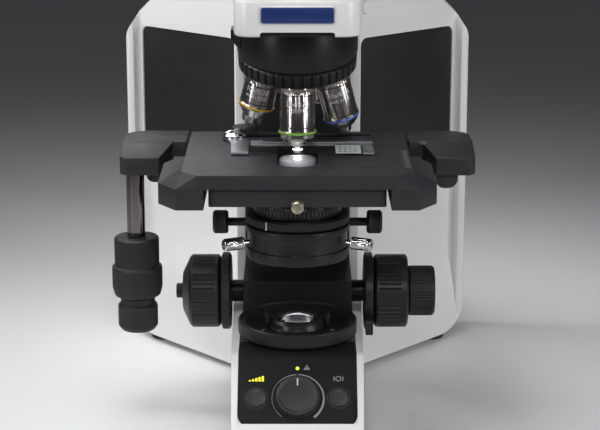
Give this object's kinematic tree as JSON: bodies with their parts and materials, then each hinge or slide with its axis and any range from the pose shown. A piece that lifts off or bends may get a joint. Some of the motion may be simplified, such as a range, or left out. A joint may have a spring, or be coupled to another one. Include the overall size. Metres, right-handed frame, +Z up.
{
  "type": "upright microscope",
  "caption": "Upright laboratory microscope with a hooped stand, mechanical stage, revolving nosepiece, condenser, focus knobs and an inclined binocular tube.",
  "frame": {"origin": "middle of the footprint, on the table that the feet stand on", "axes": "+Z up, +Y away from the user, +X to the user's right; the optical axis stands at Y = -0.108"},
  "size_m": [0.272, 0.426, 0.4154],
  "materials": {
    "painted_white": "semi-gloss white enamel",
    "satin_black": "satin black",
    "black_plastic": "fine textured black",
    "panel_grey": "fine textured dark grey",
    "black_rubber": "matt",
    "chrome": "polished",
    "satin_metal": "satin nickel",
    "brass": "satin",
    "glass": "polished",
    "lamp_green": "lit"
  },
  "bodies": {
    "stand": {"base_casting": "painted_white", "bottom_cover": "satin_black", "foot_front_left": "black_rubber", "foot_front_right": "black_rubber", "foot_rear_left": "black_rubber", "foot_rear_right": "black_rubber", "rear_frame": "painted_white", "side_panel_left": "satin_black", "side_panel_right": "satin_black", "rear_cover": "satin_black", "power_inlet": "black_plastic", "lamp_housing": "satin_black", "arm_casting": "painted_white", "arm_front_cap": "painted_white", "observation_tube": "painted_white", "nosepiece_mount": "satin_black", "focus_block": "satin_black", "control_panel": "panel_grey", "status_lamp": "lamp_green", "field_lens_mount": "satin_black", "field_lens": "glass"},
    "power_switch": {"power_switch": "black_plastic"},
    "tube_clamp_screw": {"tube_clamp_screw": "satin_metal"},
    "field_iris_ring": {"field_iris_ring": "black_plastic"},
    "intensity_dial": {"intensity_dial": "panel_grey"},
    "button_left": {"button_left": "panel_grey"},
    "button_right": {"button_right": "panel_grey"},
    "nosepiece": {"nosepiece_turret": "satin_black", "objective_20x": "satin_metal", "objective_40x": "satin_metal", "objective_100x": "satin_metal", "objective_4x": "satin_metal", "objective_10x": "satin_metal"},
    "coarse_focus": {"coarse_knob_left": "black_plastic", "coarse_knob_right": "black_plastic"},
    "fine_focus": {"fine_knob_left": "satin_metal", "fine_knob_right": "black_plastic"},
    "focus_tension_ring": {"focus_tension_ring": "black_plastic"},
    "focus_lock_lever": {"focus_lock_lever": "black_plastic"},
    "stage_carriage": {"focus_carriage": "satin_black", "stage_base": "satin_black", "stage_drive_shaft": "chrome"},
    "stage_clamp_screw": {"stage_clamp_screw": "brass"},
    "stage_plate": {"stage_plate": "satin_black"},
    "slide_holder": {"slide_holder": "satin_metal", "glass_slide": "glass"},
    "slide_holder_finger": {"slide_holder_finger": "satin_metal"},
    "y_drive_knob": {"y_drive_knob": "black_rubber"},
    "x_drive_knob": {"x_drive_knob": "black_rubber"},
    "condenser": {"condenser_holder": "satin_black", "condenser_body": "satin_black", "condenser_top_lens": "glass"},
    "condenser_aperture_ring": {"condenser_aperture_ring": "satin_black"},
    "condenser_screw_left": {"condenser_screw_left": "chrome"},
    "condenser_screw_right": {"condenser_screw_right": "chrome"},
    "condenser_height_shaft": {"condenser_height_shaft": "satin_black"},
    "eyepiece_tube_left": {"eyepiece_tube_left": "satin_black"},
    "eyepiece_left": {"eyepiece_left": "black_plastic"},
    "eyepiece_tube_right": {"eyepiece_tube_right": "satin_black", "eyepiece_right": "black_plastic"}
  },
  "joints": [
    {"name": "focus_height", "type": "slide", "parent": "stand", "child": "stage_carriage", "axis": [0, 0, 1], "range_m": [-0.025, 0.0008]},
    {"name": "coarse_turn", "type": "hinge", "parent": "stand", "child": "coarse_focus", "pos_m": [0, -0.033, 0.0775], "axis": [1, 0, 0], "range_deg": [-17, 509]},
    {"name": "fine_turn", "type": "hinge", "parent": "stand", "child": "fine_focus", "pos_m": [0, -0.033, 0.0775], "axis": [1, 0, 0], "continuous": true},
    {"name": "tension_ring_turn", "type": "hinge", "parent": "stand", "child": "focus_tension_ring", "pos_m": [0, -0.033, 0.0775], "axis": [1, 0, 0], "range_deg": [-60, 60]},
    {"name": "focus_lock_turn", "type": "hinge", "parent": "stand", "child": "focus_lock_lever", "pos_m": [0, -0.033, 0.0775], "axis": [1, 0, 0], "range_deg": [-20, 35]},
    {"name": "stage_y", "type": "slide", "parent": "stage_carriage", "child": "stage_plate", "axis": [0, 1, 0], "range_m": [-0.026, 0.026]},
    {"name": "y_knob_turn", "type": "hinge", "parent": "stage_carriage", "child": "y_drive_knob", "pos_m": [-0.115, -0.07, 0.106], "axis": [0, 0, 1], "range_deg": [-408, 408]},
    {"name": "stage_x", "type": "slide", "parent": "stage_plate", "child": "slide_holder", "axis": [1, 0, 0], "range_m": [-0.038, 0.036]},
    {"name": "x_knob_turn", "type": "hinge", "parent": "stage_carriage", "child": "x_drive_knob", "pos_m": [-0.115, -0.07, 0.07], "axis": [0, 0, 1], "range_deg": [-508, 482]},
    {"name": "holder_finger_turn", "type": "hinge", "parent": "slide_holder", "child": "slide_holder_finger", "pos_m": [-0.0444, -0.0685, 0.201], "axis": [0, 0, 1], "range_deg": [-25, 0], "stiffness_Nm_per_rad": 0.05, "springref_deg": 5.73},
    {"name": "stage_clamp_turn", "type": "hinge", "parent": "stage_carriage", "child": "stage_clamp_screw", "pos_m": [0, -0.182, 0.1785], "axis": [0, 1, 0], "range_deg": [-180, 0]},
    {"name": "condenser_height", "type": "slide", "parent": "stage_carriage", "child": "condenser", "axis": [0, 0, 1], "range_m": [-0.018, 0]},
    {"name": "condenser_knob_turn", "type": "hinge", "parent": "stage_carriage", "child": "condenser_height_shaft", "pos_m": [0, -0.054, 0.1355], "axis": [1, 0, 0], "range_deg": [-325, 0]},
    {"name": "aperture_ring_turn", "type": "hinge", "parent": "condenser", "child": "condenser_aperture_ring", "pos_m": [0, -0.108, 0.153], "axis": [0, 0, 1], "range_deg": [-30, 60]},
    {"name": "condenser_screw_left_turn", "type": "hinge", "parent": "condenser", "child": "condenser_screw_left", "pos_m": [-0.03321, -0.12409, 0.139], "axis": [-0.9, -0.436, 0], "range_deg": [-180, 180]},
    {"name": "condenser_screw_right_turn", "type": "hinge", "parent": "condenser", "child": "condenser_screw_right", "pos_m": [0.03321, -0.12409, 0.139], "axis": [0.9, -0.436, 0], "range_deg": [-180, 180]},
    {"name": "nosepiece_turn", "type": "hinge", "parent": "stand", "child": "nosepiece", "pos_m": [0, -0.0848, 0.2512], "axis": [0, 0.2588, -0.9659], "continuous": true},
    {"name": "field_iris_turn", "type": "hinge", "parent": "stand", "child": "field_iris_ring", "pos_m": [0, -0.108, 0.075], "axis": [0, 0, 1], "range_deg": [-45, 75]},
    {"name": "intensity_dial_turn", "type": "hinge", "parent": "stand", "child": "intensity_dial", "pos_m": [0, -0.17883, 0.04783], "axis": [0, -0.7071, 0.7071], "range_deg": [-140, 140]},
    {"name": "button_left_press", "type": "slide", "parent": "stand", "child": "button_left", "axis": [0, 0.7071, -0.7071], "range_m": [0, 0.0012], "stiffness_N_per_m": 400},
    {"name": "button_right_press", "type": "slide", "parent": "stand", "child": "button_right", "axis": [0, 0.7071, -0.7071], "range_m": [0, 0.0012], "stiffness_N_per_m": 400},
    {"name": "power_switch_rock", "type": "hinge", "parent": "stand", "child": "power_switch", "pos_m": [0, 0.1305, 0.047], "axis": [1, 0, 0], "range_deg": [0, 10]},
    {"name": "tube_clamp_turn", "type": "hinge", "parent": "stand", "child": "tube_clamp_screw", "pos_m": [0.045, -0.108, 0.298], "axis": [1, 0, 0], "range_deg": [-180, 0]},
    {"name": "eyepiece_right_swing", "type": "hinge", "parent": "stand", "child": "eyepiece_tube_right", "pos_m": [0, -0.126, 0.374], "axis": [0, -0.866, 0.5], "range_deg": [-18, 19]},
    {"name": "eyepiece_left_swing", "type": "hinge", "parent": "stand", "child": "eyepiece_tube_left", "pos_m": [0, -0.126, 0.374], "axis": [0, -0.866, 0.5], "range_deg": [-19, 18]},
    {"name": "dioptre_turn", "type": "hinge", "parent": "eyepiece_tube_left", "child": "eyepiece_left", "pos_m": [-0.03113, -0.13145, 0.36456], "axis": [0, -0.866, 0.5], "range_deg": [-120, 120]}
  ],
  "couplings": [
    {"joint": "coarse_turn", "follows": "focus_height", "rad_per_m": -355},
    {"joint": "y_knob_turn", "follows": "stage_y", "rad_per_m": 273},
    {"joint": "x_knob_turn", "follows": "stage_x", "rad_per_m": 232.7},
    {"joint": "condenser_knob_turn", "follows": "condenser_height", "rad_per_m": 314},
    {"joint": "eyepiece_left_swing", "follows": "eyepiece_right_swing", "ratio": -1}
  ]
}
